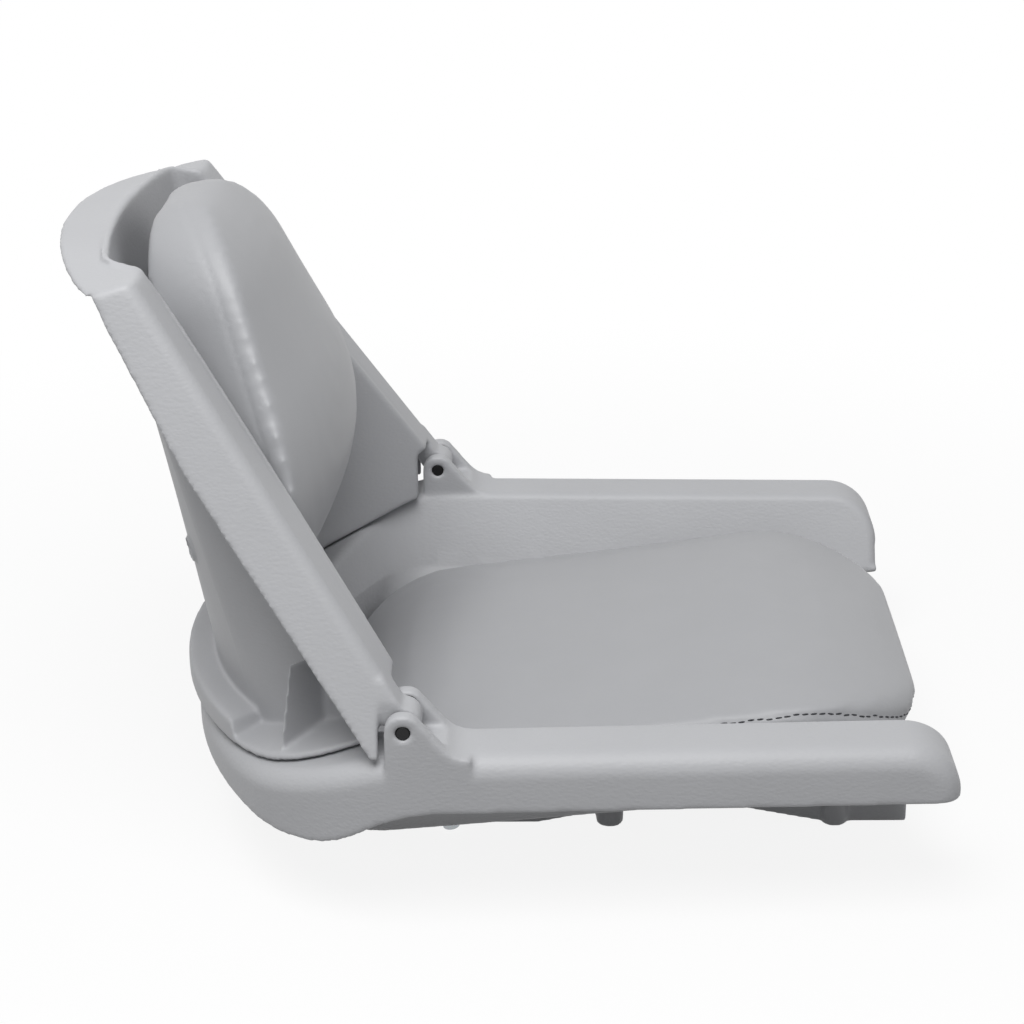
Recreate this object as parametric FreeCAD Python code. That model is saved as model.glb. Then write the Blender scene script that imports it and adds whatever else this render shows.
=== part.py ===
import FreeCAD, Part
import math
import os

V = FreeCAD.Vector
ACROSS = V(0, 1, 0)
UP = V(0, 0, 1)

# Shared sizes of both moulded shells, in millimetres; the origin is the middle of the bolt pattern
wall = 4.0
rest_gap = 0.3            # between pieces that only lie together

# Base: arms and rim, seen from above
base_half = 228.0         # widest, at the hinges
arm_front_x = 247.0
arm_front_half = 217.0    # the arms toe in towards the front
base_corner_x = -52.0
base_corner_r = 100.0
base_depth = 135.0        # corner centre to the rear end
rim_w = 42.0              # outer face to the inner edge of the arm's top

# Base: arms and rim, seen from the side
rim_z = 100.0
arm_skirt_z = 68.0
rear_skirt_z = 45.0
skirt_drop_x = -34.0      # where the lower edge starts to fall
skirt_drop_w = 80.0
arm_nose_r = 30.0
rim_edge_r = 13.0
rim_inner_r = 6.0

# Base: the well and its pan
well_lean = 21.0          # the well's sides lean in by this much down to the knee
knee_z = 55.0
pan_half = 120.0          # the well's floor below the knee
pan_corner_r = 35.0
pan_corner_x = -70.0
pan_depth = 42.0
pan_z = 24.0              # top of the pan above the mounting face, at the origin
pan_slope = 7.5
pan_front_x = 234.0

# Parting line between the base's rear rim and the back's lower flange
parting_x = -62.0
parting_slope = 20.0
parting_floor_z = 71.0
parting_top_r = 60.0
parting_r = 80.0
parting_gap = 1.2

# Hinges
hinge_x = -50.0
hinge_z = 116.0
pin_d = 7.9
pin_recess = 1.0
ear_r = 10.0
ear_w = 9.5
ear_lead = 40.0           # direction in which the ear's round top turns into its front slope
ear_foot_r = 20.0
ear_depth = 18.0          # how far the ear block reaches down inside the rim
knuckle_w = 20.0
knuckle_r = 9.4
knuckle_side_gap = 1.5    # holds the bush flange
bush_wall = 1.6
bush_flange = 1.2
pin_running_gap = 0.06
notch_r = 19.5            # room for the ears in the back's rails
notch_back = 13.0

# Back: rails
back_lean = 32.8
rail_proud = 5.0          # rail front ahead of the hinge axis
rail_w = 30.0
rail_depth_low = 29.0
rail_depth_mid = 31.0
rail_depth_high = 22.0
rail_knee_z = 245.0       # the skirt is deepest here
rail_inner_leg = 8.0
rail_inner_r = 12.0
rail_flare = 3.0
rail_half_low = 219.0     # at the hinge axis
rail_half_high = 152.0    # at the top
rail_edge_r = 8.0

# Back: bowl and collar
bowl_low_x = -181.5       # rear wall at the height of the hinge axis
bowl_high_x = -221.0      # rear wall at the top
bowl_corner_low = 0.44    # corner radius as a share of the bowl's depth: at the hinges, at the top
bowl_corner_high = 0.70
bowl_corner_back_low = 0.36   # how far behind the front the corner's centre lies, as a share of the depth
bowl_corner_back_high = 0.0
bowl_taper_low = 0.47     # how fast the sides draw in towards the rear
bowl_taper_high = 0.0
back_top_z = 341.0        # where the rails' front meets the collar
collar_crest_z = 346.0    # inner edge of the collar at the middle
collar_rear_x = -250.0    # outer edge of the collar at the middle
collar_rear_z = 343.0
collar_droop = 6.0        # the collar's ends fall this much towards the rear

# Back: lower flange
flange_half = 200.0
flange_corner_x = -80.0
flange_corner_r = 65.0
flange_depth = 113.0
flange_front_x = -66.0
flange_t = 4.0
rear_step = 10.0          # the flange's middle stands higher
step_apex_x = -8.0        # the raised part's slanting ends run from here at 45 degrees
step_run = 9.0            # each end slopes up over this length
gusset_t = 3.0
gusset_top_z = 133.0
gusset_foot_x = -122.0    # at the flange's lip
gusset_y = 183.0
gusset_toe = 45.0         # turned out by this much towards the lip
gusset_rake = 11.0        # its rear edge leans forward by this much up to its top

# Underside of the base
web_y = 104.0
web_t = 3.0
web_rear_x = -84.0
web_front_x = 234.0
web_arch_z = 9.0          # height of the arch between the two feet of each web
web_foot_w = 50.0
web_rear_foot_x = -30.0
web_front_foot_x = 184.0
web_rise = 46.0
foot_d = 16.0
foot_x = (61.0, 192.0)
bolt_pitch = 127.0
bolt_boss_d = 22.0
insert_d = 9.5
insert_len = 9.0
insert_bore = 6.4

# Cushions
cover_t = 1.2
board_t = 9.0
seat_pad_x = -95.0
seat_pad_len = 332.0
seat_pad_halves = (150.0, 146.0)       # at the seam: rear, front
seat_pad_flares = (-30.0, -3.0)        # the foot is this much wider than the seam
seat_pad_corner_rs = (62.0, 60.0)
seat_pad_seam_h = 43.0
seat_pad_crown = 9.0
seat_pad_bulge = 6.0
seat_pad_draw = 3.0
seat_pad_nose_hs = (15.0, 17.0)        # the edge falls by this much at the ends
back_pad_top_x = -206.0
back_pad_top_z = 343.0
back_pad_lean = 19.0
back_pad_len = 208.0
back_pad_halves = (70.0, 189.0)       # at the seam: top, bottom
back_pad_flares = (-6.0, -62.0)
back_pad_corner_rs = (52.0, 104.0)
back_pad_seam_h = 52.0
back_pad_crown = 34.0
back_pad_bulge = 3.5
back_pad_draw = 2.0
back_pad_nose_hs = (16.0, 38.0)
nose_lift = 10.0          # the cushions' ends are rounded from below by this much
seam_drop = 2.0           # the cover is sewn just below the cushion's edge

# Cushion fasteners
screw_d = 5.0
screw_head_d = 10.0
screw_head_h = 4.0
washer_d = 11.0
washer_t = 1.2
tnut_flange_d = 14.0
tnut_flange_t = 1.4
tnut_barrel_d = 7.0
screw_hole_gap = 0.4
seat_screw_along = (62.0, 246.0)
seat_screw_half = (112.5, 112.5)
seat_boss_d = 15.0
seat_boss_len = 9.0
back_screw_along = (46.0, 176.0)
back_screw_half = (58.0, 88.0)
back_boss_d = 15.0
back_boss_proud = 3.0

# Room taken by cutting shapes, well past the seat on every side
far = 600.0
shell_low = parting_floor_z - rear_step
shell_high = back_top_z + rail_w
hinge_height = back_top_z - hinge_z
lean_tan = math.tan(math.radians(back_lean))
lean_cos = math.cos(math.radians(back_lean))
slope_tan = math.tan(math.radians(pan_slope))
parting_tan = math.tan(math.radians(parting_slope))


def closed_wire(start, *steps):
    """A closed outline; a step is the end of a line, or (middle, end) of an arc."""
    edges = []
    here = start
    for step in steps:
        if isinstance(step, tuple):
            edges.append(Part.Arc(here, step[0], step[1]).toShape())
            here = step[1]
        else:
            edges.append(Part.LineSegment(here, step).toShape())
            here = step
    if not here.isEqual(start, 1e-6):
        edges.append(Part.LineSegment(here, start).toShape())
    return Part.Wire(edges)


def rounded(before, corner, after, radius):
    """Start, middle and end of the arc that rounds a corner."""
    one = (before - corner).normalize()
    two = (after - corner).normalize()
    half_turn = one.getAngle(two) / 2
    inward = (one + two).normalize()
    run = radius / math.tan(half_turn)
    middle = corner + inward * (radius / math.sin(half_turn) - radius)
    return corner + one * run, middle, corner + two * run


def side_prism(wire, y_from=-far, y_to=far):
    """A side outline, drawn at Y = 0, run across the seat."""
    face = Part.Face(wire)
    face.translate(ACROSS * y_from)
    return face.extrude(ACROSS * (y_to - y_from))


def plan_prism(wire, z_from=-far, z_to=far):
    """A plan outline, drawn at Z = 0, run upwards."""
    face = Part.Face(wire)
    face.translate(UP * z_from)
    return face.extrude(UP * (z_to - z_from))


def both_sides(shape):
    return [shape, shape.mirror(V(0, 0, 0), ACROSS)]


def u_outline(front, corner, corner_r, depth, inset=0.0, z=0.0):
    """A U seen from above, open end to the front: straight sides, two corner arcs and a rear arc.
    front is a point of the left side, corner the centre of the left corner arc."""
    rear_r = (depth ** 2 + corner.y ** 2 - corner_r ** 2) / (2 * (depth - corner_r))
    rear_centre = V(corner.x - depth + rear_r, 0, 0)
    reach = front - corner
    turn = math.atan2(reach.y, reach.x) + math.acos(corner_r / reach.Length)
    side_out = V(math.cos(turn), math.sin(turn), 0)
    rear_out = (corner - rear_centre).normalize()
    corner_out = (side_out + rear_out).normalize()
    left_front = front - side_out * inset
    left_side = corner + side_out * (corner_r - inset)
    left_mid = corner + corner_out * (corner_r - inset)
    left_rear = corner + rear_out * (corner_r - inset)
    rear_end = rear_centre - V(rear_r - inset, 0, 0)
    left = [p + UP * z for p in (left_front, left_side, left_mid, left_rear)]
    right = [V(p.x, -p.y, p.z) for p in left]
    return closed_wire(left[0], left[1], (left[2], left[3]), (rear_end + UP * z, right[3]),
                       (right[2], right[1]), right[0])


def loft(wires, ruled=True):
    return Part.makeLoft(wires, True, ruled)


# Base


def base_outline(inset=0.0, z=0.0):
    front = V(arm_front_x, arm_front_half, 0)
    corner = V(base_corner_x, base_half - base_corner_r, 0)
    ahead = V(front.x - corner.x, arm_front_half - base_half, 0).normalize()
    return u_outline(front + ahead * base_corner_r, corner, base_corner_r, base_depth, inset, z)


def parting_path(rise):
    """The parting line, seen from the side: the steps from the rim's level top to the rear end."""
    ahead = V(far, 0, rim_z + rise)
    start = V(parting_x, 0, rim_z + rise)
    corner = V(parting_x - (rim_z - parting_floor_z) / parting_tan, 0, parting_floor_z + rise)
    rear = V(corner.x - far, 0, corner.z)
    upper = rounded(ahead, start, corner, parting_top_r)
    lower = rounded(start, corner, rear, parting_r)
    return [upper[0], upper[1:], lower[0], lower[1:], rear]


def above_parting(rise):
    path = parting_path(rise)
    ahead = V(far, 0, path[0].z)
    return side_prism(closed_wire(ahead, *path, path[-1] + UP * far, ahead + UP * far))


def below_rim(drop):
    """Everything under the rim's top face, seen from the side, less a wall thickness."""
    path = parting_path(-drop)
    nose_r = arm_nose_r - drop
    top = V(arm_front_x - arm_nose_r, 0, rim_z - drop)
    centre = top - UP * nose_r
    nose_mid = centre + V(1, 0, 1).normalize() * nose_r
    nose_end = centre + V(nose_r, 0, 0)
    return side_prism(closed_wire(top, *path, path[-1] - UP * far, nose_end - UP * far, nose_end,
                                  (nose_mid, top)))


def below_skirt():
    """Everything under the skirt's lower edge: straight along the arms, then an S down to the rear."""
    fall = arm_skirt_z - rear_skirt_z
    arc_r = (skirt_drop_w ** 2 + fall ** 2) / (4 * fall)
    turn = math.asin(skirt_drop_w / 2 / arc_r) / 2
    step = V(arc_r * math.sin(turn), 0, arc_r * (1 - math.cos(turn)))
    high = V(skirt_drop_x, 0, arm_skirt_z)
    low = V(skirt_drop_x - skirt_drop_w, 0, rear_skirt_z)
    middle = (high + low) * 0.5
    return side_prism(closed_wire(V(far, 0, arm_skirt_z), high, (high - step, middle), (low + step, low),
                                  V(-far, 0, rear_skirt_z), V(-far, 0, -far), V(far, 0, -far)))


def pan_height(x):
    return pan_z + x * slope_tan


def above_pan(drop):
    rear = V(-far, 0, pan_height(-far) - drop)
    front = V(far, 0, pan_height(far) - drop)
    return side_prism(closed_wire(rear, front, front + UP * far, rear + UP * far))


def well(inset, drop):
    """The hollow that holds the seat cushion: sides leaning out towards the rim, more below the knee."""
    lean = well_lean / (rim_z - knee_z)
    high_z = rim_z + rim_w
    floor_front = V(arm_front_x + base_corner_r, pan_half, 0)
    floor_corner = V(pan_corner_x, pan_half - pan_corner_r, 0)
    sides = loft([u_outline(floor_front, floor_corner, pan_corner_r, pan_depth, -inset, -inset),
                  base_outline(rim_w - inset + well_lean, knee_z - inset),
                  base_outline(rim_w - inset - lean * (high_z - rim_z), high_z)])
    return sides.common(above_pan(drop))


def ear_outline():
    axis = V(hinge_x, 0, hinge_z)
    lead = math.radians(ear_lead)
    rear = axis - V(ear_r, 0, 0)
    leave = axis + V(math.cos(lead), 0, math.sin(lead)) * ear_r
    top = axis + V(math.cos((lead + math.pi) / 2), 0, math.sin((lead + math.pi) / 2)) * ear_r
    foot = leave + V(math.tan(lead), 0, -1) * (leave.z - rim_z)
    bend = rounded(leave, foot, foot + V(far, 0, 0), ear_foot_r)
    low = rim_z - ear_depth
    return closed_wire(V(rear.x, 0, low), rear, (top, leave), bend[0], (bend[1], bend[2]),
                       V(bend[2].x, 0, low))


def slot_from():
    """Left hinge: the knuckle's slot lies between the two ears, from here inwards."""
    return base_half - ear_w


def slot_width():
    return knuckle_w + 2 * knuckle_side_gap


def pin_axis(y):
    return V(hinge_x, y, hinge_z)


def ear_block():
    block = side_prism(ear_outline(), base_half - rim_w, base_half).common(plan_prism(base_outline()))
    floor = hinge_z - knuckle_r - parting_gap
    slot = Part.makeBox(far, slot_width(), far, V(hinge_x - far / 2, slot_from() - slot_width(), floor))
    bore = Part.makeCylinder(pin_d / 2, far, pin_axis(0), ACROSS)
    return block.cut(slot).cut(bore)


def web_outline():
    """Fore-and-aft web below the pan: two feet with an arch between them."""
    top_rear = pan_height(web_rear_x) - wall / 2
    top_front = pan_height(web_front_x) - wall / 2
    rear_foot_end = web_rear_foot_x + web_foot_w
    front_foot_end = web_front_foot_x + web_foot_w
    return closed_wire(V(web_rear_x, 0, top_rear), V(web_rear_foot_x, 0, 0), V(rear_foot_end, 0, 0),
                       V(rear_foot_end + web_rise, 0, web_arch_z),
                       V(web_front_foot_x - web_rise, 0, web_arch_z), V(web_front_foot_x, 0, 0),
                       V(front_foot_end, 0, 0), V(web_front_x, 0, top_front))


def bolt_places():
    half = bolt_pitch / 2
    return [V(x, y, 0) for x in (-half, half) for y in (-half, half)]


def seat_place():
    origin = V(seat_pad_x, 0, pan_height(seat_pad_x))
    return FreeCAD.Placement(origin, FreeCAD.Rotation(ACROSS, -pan_slope))


def back_place():
    origin = V(back_pad_top_x, 0, back_pad_top_z)
    return FreeCAD.Placement(origin, FreeCAD.Rotation(ACROSS, 90 - back_pad_lean))


def placed(shape, place):
    copy = shape.copy()
    copy.Placement = place.multiply(copy.Placement)
    return copy


def screw_places(along, halves):
    return [V(x, side * y, 0) for x, y in zip(along, halves) for side in (-1, 1)]


def seat_boss_bottom():
    return -(wall + seat_boss_len)


def underside():
    """Webs, feet and bosses below the pan."""
    web = side_prism(web_outline(), web_y - web_t / 2, web_y + web_t / 2)
    pieces = both_sides(web)
    foot_places = [V(x, y, 0) for x in foot_x for y in (-web_y, web_y)]
    for place in foot_places:
        pieces.append(Part.makeCylinder(foot_d / 2, pan_height(place.x), place))
    for place in bolt_places():
        pieces.append(Part.makeCylinder(bolt_boss_d / 2, pan_height(place.x), place))
    for x in (web_rear_foot_x, web_front_x - web_t):
        pieces.append(Part.makeBox(web_t, 2 * web_y, pan_height(x), V(x, -web_y, 0)))
    for place in screw_places(seat_screw_along, seat_screw_half):
        low = V(place.x, place.y, seat_boss_bottom())
        pieces.append(placed(Part.makeCylinder(seat_boss_d / 2, -low.z, low), seat_place()))
    shape = pieces[0].fuse(pieces[1:])
    return shape.cut(above_pan(wall / 2))


def seat_screw_holes():
    holes = []
    for place in screw_places(seat_screw_along, seat_screw_half):
        hole = Part.makeCylinder(screw_d / 2 + screw_hole_gap, far, V(place.x, place.y, -far / 2))
        holes.append(placed(hole, seat_place()))
    return holes


def insert_holes():
    holes = []
    for place in bolt_places():
        holes.append(Part.makeCylinder(insert_d / 2, insert_len, place))
    return holes


def rim_block(inset):
    """The room inside the rim's outer faces, its top edge rounded all along."""
    block = plan_prism(base_outline(inset), 0.0, far).common(below_rim(inset))
    upper = [e for e in block.Edges if e.BoundBox.ZMin > rear_skirt_z]
    outer = [e for e in upper if abs(e.CenterOfMass.y) > wall or e.BoundBox.XLength > wall]
    return block.makeFillet(rim_edge_r - inset, outer)


def rim_blank():
    """The rim with the well cut into it, the well's top edge rounded."""
    block = rim_block(0.0).cut(well(0.0, 0.0))
    inner = [e for e in block.Edges if e.BoundBox.XLength > base_depth and e.BoundBox.ZMin > rim_z - 0.01
             and abs(e.CenterOfMass.y) < base_half - rim_w]
    return block.makeFillet(rim_inner_r, inner)


def make_seat_shell():
    skin = well(wall, wall)
    ahead = Part.makeBox(far, far, far, V(pan_front_x, -far / 2, rim_z - far))
    open_front = plan_prism(base_outline(rim_w + well_lean)).common(ahead)
    shell = rim_blank().cut([rim_block(wall).cut(skin), below_skirt().cut(skin), open_front])
    shell = shell.fuse([underside()] + both_sides(ear_block()))
    for hole in seat_screw_holes() + insert_holes():
        shell = shell.cut(hole)
    return shell.removeSplitter()


# Back


def front_x(z):
    """Front face of the rails at a height."""
    return hinge_x + rail_proud / lean_cos - (z - hinge_z) * lean_tan


def at_height(low, high, z):
    return low + (high - low) * (z - hinge_z) / hinge_height


def rail_half(z):
    return at_height(rail_half_low, rail_half_high, z)


def bowl_outline(z, inset=0.0):
    """Plan section of the bowl: sides that draw in, two round corners and a bowed rear wall."""
    front = V(front_x(z), rail_half(z) - rail_w + wall, 0)
    rear_x = at_height(bowl_low_x, bowl_high_x, z)
    full_depth = front.x - rear_x
    corner_r = full_depth * at_height(bowl_corner_low, bowl_corner_high, z)
    back = full_depth * at_height(bowl_corner_back_low, bowl_corner_back_high, z)
    taper = at_height(bowl_taper_low, bowl_taper_high, z)
    centre_y = front.y - taper * back - corner_r * math.hypot(1, taper)
    ahead = V(1, taper, 0) * (2 * rail_w)
    return u_outline(front + ahead, V(front.x - back, centre_y, 0), corner_r, full_depth - back, inset, z)


def bowl(inset):
    return loft([bowl_outline(z, inset) for z in (shell_low, shell_high)])


def rail_depth(z):
    if z < rail_knee_z:
        share = (z - hinge_z) / (rail_knee_z - hinge_z)
        return rail_depth_low + (rail_depth_mid - rail_depth_low) * share
    share = (z - rail_knee_z) / (back_top_z - rail_knee_z)
    return rail_depth_mid + (rail_depth_high - rail_depth_mid) * share


def rail_section(z, front, rear, inset):
    """Plan section of the left rail, reaching ahead of its front face and behind its rear edge."""
    x = front_x(z)
    deep = rail_depth(z) / lean_cos + rear
    y_out = rail_half(z) - inset
    y_in = rail_half(z) - 2 * rail_w
    spread = rail_flare * deep / rail_depth(z)
    return closed_wire(V(x + front, y_out, z), V(x - deep, y_out + spread, z), V(x - deep, y_in, z),
                       V(x + front, y_in, z))


def rail_loft(front, rear, inset):
    return loft([rail_section(z, front, rear, inset) for z in (shell_low, rail_knee_z, shell_high)])


def rail_hollow():
    """The room behind the left rail's front, open to the rear; a leg is left along the bowl."""
    room = rail_loft(-wall / lean_cos, rail_w, wall).cut(bowl(wall - rail_inner_leg))
    return room.common(below_line(rail_front_top() - UP * wall, rail_top_rear() - UP * wall))


def same_edge(one, other):
    return one.CenterOfMass.isEqual(other.CenterOfMass, 0.01)


def on_front(edge):
    return all(abs(v.X - front_x(v.Z)) < 0.01 for v in edge.Vertexes)


def behind_front():
    low = V(front_x(-far), 0, -far)
    high = V(front_x(far), 0, far)
    return side_prism(closed_wire(low, high, V(-2 * far, 0, far), V(-2 * far, 0, -far)))


def rail_top_rear():
    """Rear corner of the left rail's top, where the collar's outer edge starts."""
    x = front_x(back_top_z) - rail_depth_high / lean_cos
    return V(x, rail_half_high + rail_flare, back_top_z - collar_droop)


def below_line(front, rear):
    """Everything under a line, seen from the side."""
    start = V(front.x, 0, front.z)
    end = V(rear.x, 0, rear.z)
    slope = (end - start).normalize() * far
    ahead = start - slope
    behind = end + slope
    return side_prism(closed_wire(ahead, behind, behind - UP * 2 * far, ahead - UP * 2 * far))


def rail_front_top():
    return V(front_x(back_top_z), 0, back_top_z)


def collar_crest():
    return V(bowl_high_x + wall / 2, 0, collar_crest_z)


def collar():
    """Arched band behind the top edge: its inner edge follows the bowl, its outer edge the rails' rear."""
    corner = rail_top_rear()
    inner_half = rail_half_high - rail_w + wall
    wires = []
    for share in (-1.0, -0.7, -0.35, 0.0, 0.35, 0.7, 1.0):
        bow = share ** 2
        inner = collar_crest() + (rail_front_top() - collar_crest()) * bow
        outer = V(collar_rear_x, 0, collar_rear_z)
        outer = outer + (V(corner.x, 0, corner.z) - outer) * bow
        top = [V(inner.x, inner_half * share, inner.z), V(outer.x, rail_half_high * share, outer.z)]
        wires.append(closed_wire(top[0], top[1], top[1] - UP * wall, top[0] - UP * wall))
    return loft(wires, ruled=False)


def flange_outline(inset=0.0):
    corner = V(flange_corner_x, flange_half - flange_corner_r, 0)
    front = V(corner.x + flange_corner_r, flange_half, 0)
    return u_outline(front, corner, flange_corner_r, flange_depth, inset)


def band(low, high):
    return above_parting(parting_gap + low).cut(above_parting(parting_gap + high))


def step_wedge(inset):
    """The room of the flange's raised middle: two slanting ends that slope up from the plate."""
    wires = []
    for rise, forward in ((0.0, step_run), (rear_step + flange_t, 0.0)):
        apex = V(step_apex_x + forward - inset, 0, parting_floor_z + parting_gap + rise)
        wires.append(closed_wire(apex, apex + V(-far, far, 0), apex + V(-far, -far, 0)))
    return loft(wires)


def flange():
    plate = plan_prism(flange_outline()).common(band(0.0, flange_t))
    hollow = plan_prism(flange_outline(wall)).common(step_wedge(2 * wall)).common(band(-flange_t, rear_step))
    raised = plan_prism(flange_outline()).common(step_wedge(0.0)).common(band(0.0, rear_step + flange_t))
    behind = Part.makeBox(far, far, far, V(flange_front_x - far, -far / 2, 0))
    return plate.fuse(raised).cut(hollow).common(behind)


def gusset():
    """Upright three-cornered rib between the bowl and the flange's lip, on the left."""
    run = V(math.cos(math.radians(gusset_toe)), -math.sin(math.radians(gusset_toe)), 0)
    foot = V(gusset_foot_x, gusset_y, parting_floor_z)
    top = foot + run * gusset_rake + UP * (gusset_top_z - parting_floor_z)
    inside = run * flange_depth
    face = Part.Face(closed_wire(foot, top, top + inside, foot + inside))
    face.translate(ACROSS * (-gusset_t / 2))
    return face.extrude(ACROSS * gusset_t)


def knuckle():
    """Left hinge: barrel round the pin and the web that joins it to the rail."""
    y = slot_from() - knuckle_side_gap - knuckle_w
    barrel = Part.makeCylinder(knuckle_r, knuckle_w, pin_axis(y), ACROSS)
    axis = V(hinge_x, 0, hinge_z)
    up_rail = V(-lean_tan, 0, 1).normalize()
    ahead = V(up_rail.z, 0, -up_rail.x)
    front = axis + ahead * rail_proud
    rear = axis - ahead * knuckle_r
    climb = up_rail * (notch_r + rail_edge_r)
    web = side_prism(closed_wire(front, front + climb, rear + climb, rear), y, y + knuckle_w)
    return barrel.fuse(web.common(rail_loft(rail_w, 0.0, 0.0)))


def ear_notch():
    """Room for the ears at the foot of each rail."""
    axis = pin_axis(-far)
    disc = Part.makeCylinder(notch_r, 2 * far, axis, ACROSS)
    ahead = Part.makeBox(far, 2 * far, far, V(hinge_x - notch_back, -far, hinge_z - far / 2))
    below = Part.makeBox(far, 2 * far, far, V(hinge_x - notch_back, -far, hinge_z - far))
    return disc.common(ahead).fuse(below)


def back_bosses():
    """Posts from the bowl's rear wall to the cushion board."""
    posts = []
    for place in screw_places(back_screw_along, back_screw_half):
        low = V(place.x, place.y, -far / 4)
        posts.append(placed(Part.makeCylinder(back_boss_d / 2, far / 4, low), back_place()))
    return posts


def back_boss_seat(place):
    """How far behind the board the head of a screw sits: where the post meets the bowl's outer face."""
    line = Part.makeLine(V(place.x, place.y, -far / 4), V(place.x, place.y, 0))
    hits = placed(line, back_place()).common(bowl(0.0))
    inverse = back_place().inverse()
    return min(inverse.multVec(v.Point).z for v in hits.Vertexes) + washer_t + screw_head_h


def front_skin():
    """Bowl wall and rails in one, with the outer and inner edges of the rails' front rounded."""
    rails = both_sides(rail_loft(rail_w, 0.0, 0.0))
    blank = bowl(0.0).fuse(rails).common(behind_front()).cut(bowl(wall)).removeSplitter()
    outer = []
    inner = []
    for edge in blank.Edges:
        if on_front(edge) and edge.BoundBox.ZLength > rail_w:
            middle = edge.CenterOfMass
            is_outer = abs(middle.y) > rail_half(middle.z) - rail_w / 2
            (outer if is_outer else inner).append(edge)
    blank = blank.makeFillet(rail_inner_r, inner)
    outer = [e for e in blank.Edges if any(same_edge(e, o) for o in outer)]
    return blank.makeFillet(rail_edge_r, outer).cut(both_sides(rail_hollow()))


def make_back_shell():
    body = front_skin().common(below_line(rail_front_top(), rail_top_rear()))
    bowl_wall = bowl(0.0).cut(bowl(wall)).common(behind_front())
    crest = bowl_wall.common(below_line(rail_front_top(), collar_crest()))
    body = body.fuse([crest, collar().cut(bowl(wall))])
    trim = above_parting(parting_gap)
    body = body.common(trim).cut(ear_notch())
    ribs = [g.common(trim).common(plan_prism(flange_outline())) for g in both_sides(gusset())]
    body = body.fuse([flange().cut(bowl(wall))] + [g.cut(bowl(wall)) for g in ribs])
    body = body.fuse(both_sides(knuckle()))
    grown = bowl(-back_boss_proud)
    body = body.fuse([post.common(grown) for post in back_bosses()])
    for place in screw_places(back_screw_along, back_screw_half):
        hole = Part.makeCylinder(screw_d / 2 + screw_hole_gap, far, V(place.x, place.y, -far / 2))
        seat = back_boss_seat(place)
        recess = Part.makeCylinder(washer_d / 2 + screw_hole_gap, far, V(place.x, place.y, seat - far))
        body = body.cut(placed(hole, back_place())).cut(placed(recess, back_place()))
    bore = Part.makeCylinder(pin_d / 2 + pin_running_gap + bush_wall, far * 2, pin_axis(-far), ACROSS)
    ends = Part.makeBox(4 * knuckle_r, 2 * slot_from() - 2 * slot_width(), 4 * knuckle_r,
                        V(hinge_x - 2 * knuckle_r, slot_width() - slot_from(), hinge_z - 2 * knuckle_r))
    return body.cut(bore.cut(ends)).removeSplitter()


# Hinge pins and bushes


def make_hinge_pin():
    y_in = base_half - rim_w + pin_recess
    length = base_half - pin_recess - y_in
    pin = Part.makeCylinder(pin_d / 2, length, pin_axis(y_in), ACROSS)
    return pin.makeChamfer(pin_d / 12, [e for e in pin.Edges if e.Length > pin_d and e.Closed])


def make_hinge_bushes():
    """Two flanged bushes, one from each side of the left knuckle."""
    inner_r = pin_d / 2 + pin_running_gap
    outer_r = inner_r + bush_wall
    y_mid = slot_from() - slot_width() / 2
    half = knuckle_w / 2
    tube_len = half - rest_gap
    bush = Part.makeCylinder(outer_r, tube_len, V(0, half - tube_len, 0), ACROSS)
    bush = bush.fuse(Part.makeCylinder(knuckle_r - parting_gap, bush_flange, V(0, half, 0), ACROSS))
    bush = bush.cut(Part.makeCylinder(inner_r, 4 * half, V(0, -half, 0), ACROSS)).removeSplitter()
    pair = both_sides(bush)
    for piece in pair:
        piece.translate(pin_axis(y_mid))
    return Part.makeCompound(pair)


def make_mount_inserts():
    inserts = []
    for place in bolt_places():
        body = Part.makeCylinder(insert_d / 2, insert_len, place)
        inserts.append(body.cut(Part.makeCylinder(insert_bore / 2, insert_len, place)))
    return Part.makeCompound(inserts)


# Cushions, each drawn lying on its board: X along it, Z up through its thickness


def corner_draw(distance, radius):
    """How far a rounded end draws in at a distance from that end."""
    if distance >= radius:
        return 0.0
    return radius - math.sqrt(radius ** 2 - (radius - distance) ** 2)


def pad_section(x, foot_half, seam_half, seam_h, crown, bulge, floor):
    left_foot = V(x, foot_half, floor)
    left_seam = V(x, seam_half, seam_h)
    right_seam = V(x, -seam_half, seam_h)
    right_foot = V(x, -foot_half, floor)
    out = V(0, seam_h - floor, foot_half - seam_half).normalize() * bulge
    left_mid = (left_foot + left_seam) * 0.5 + out
    right_mid = V(left_mid.x, -left_mid.y, left_mid.z)
    return closed_wire(left_foot, (left_mid, left_seam), (V(x, 0, seam_h + crown), right_seam),
                       (right_mid, right_foot))


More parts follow.
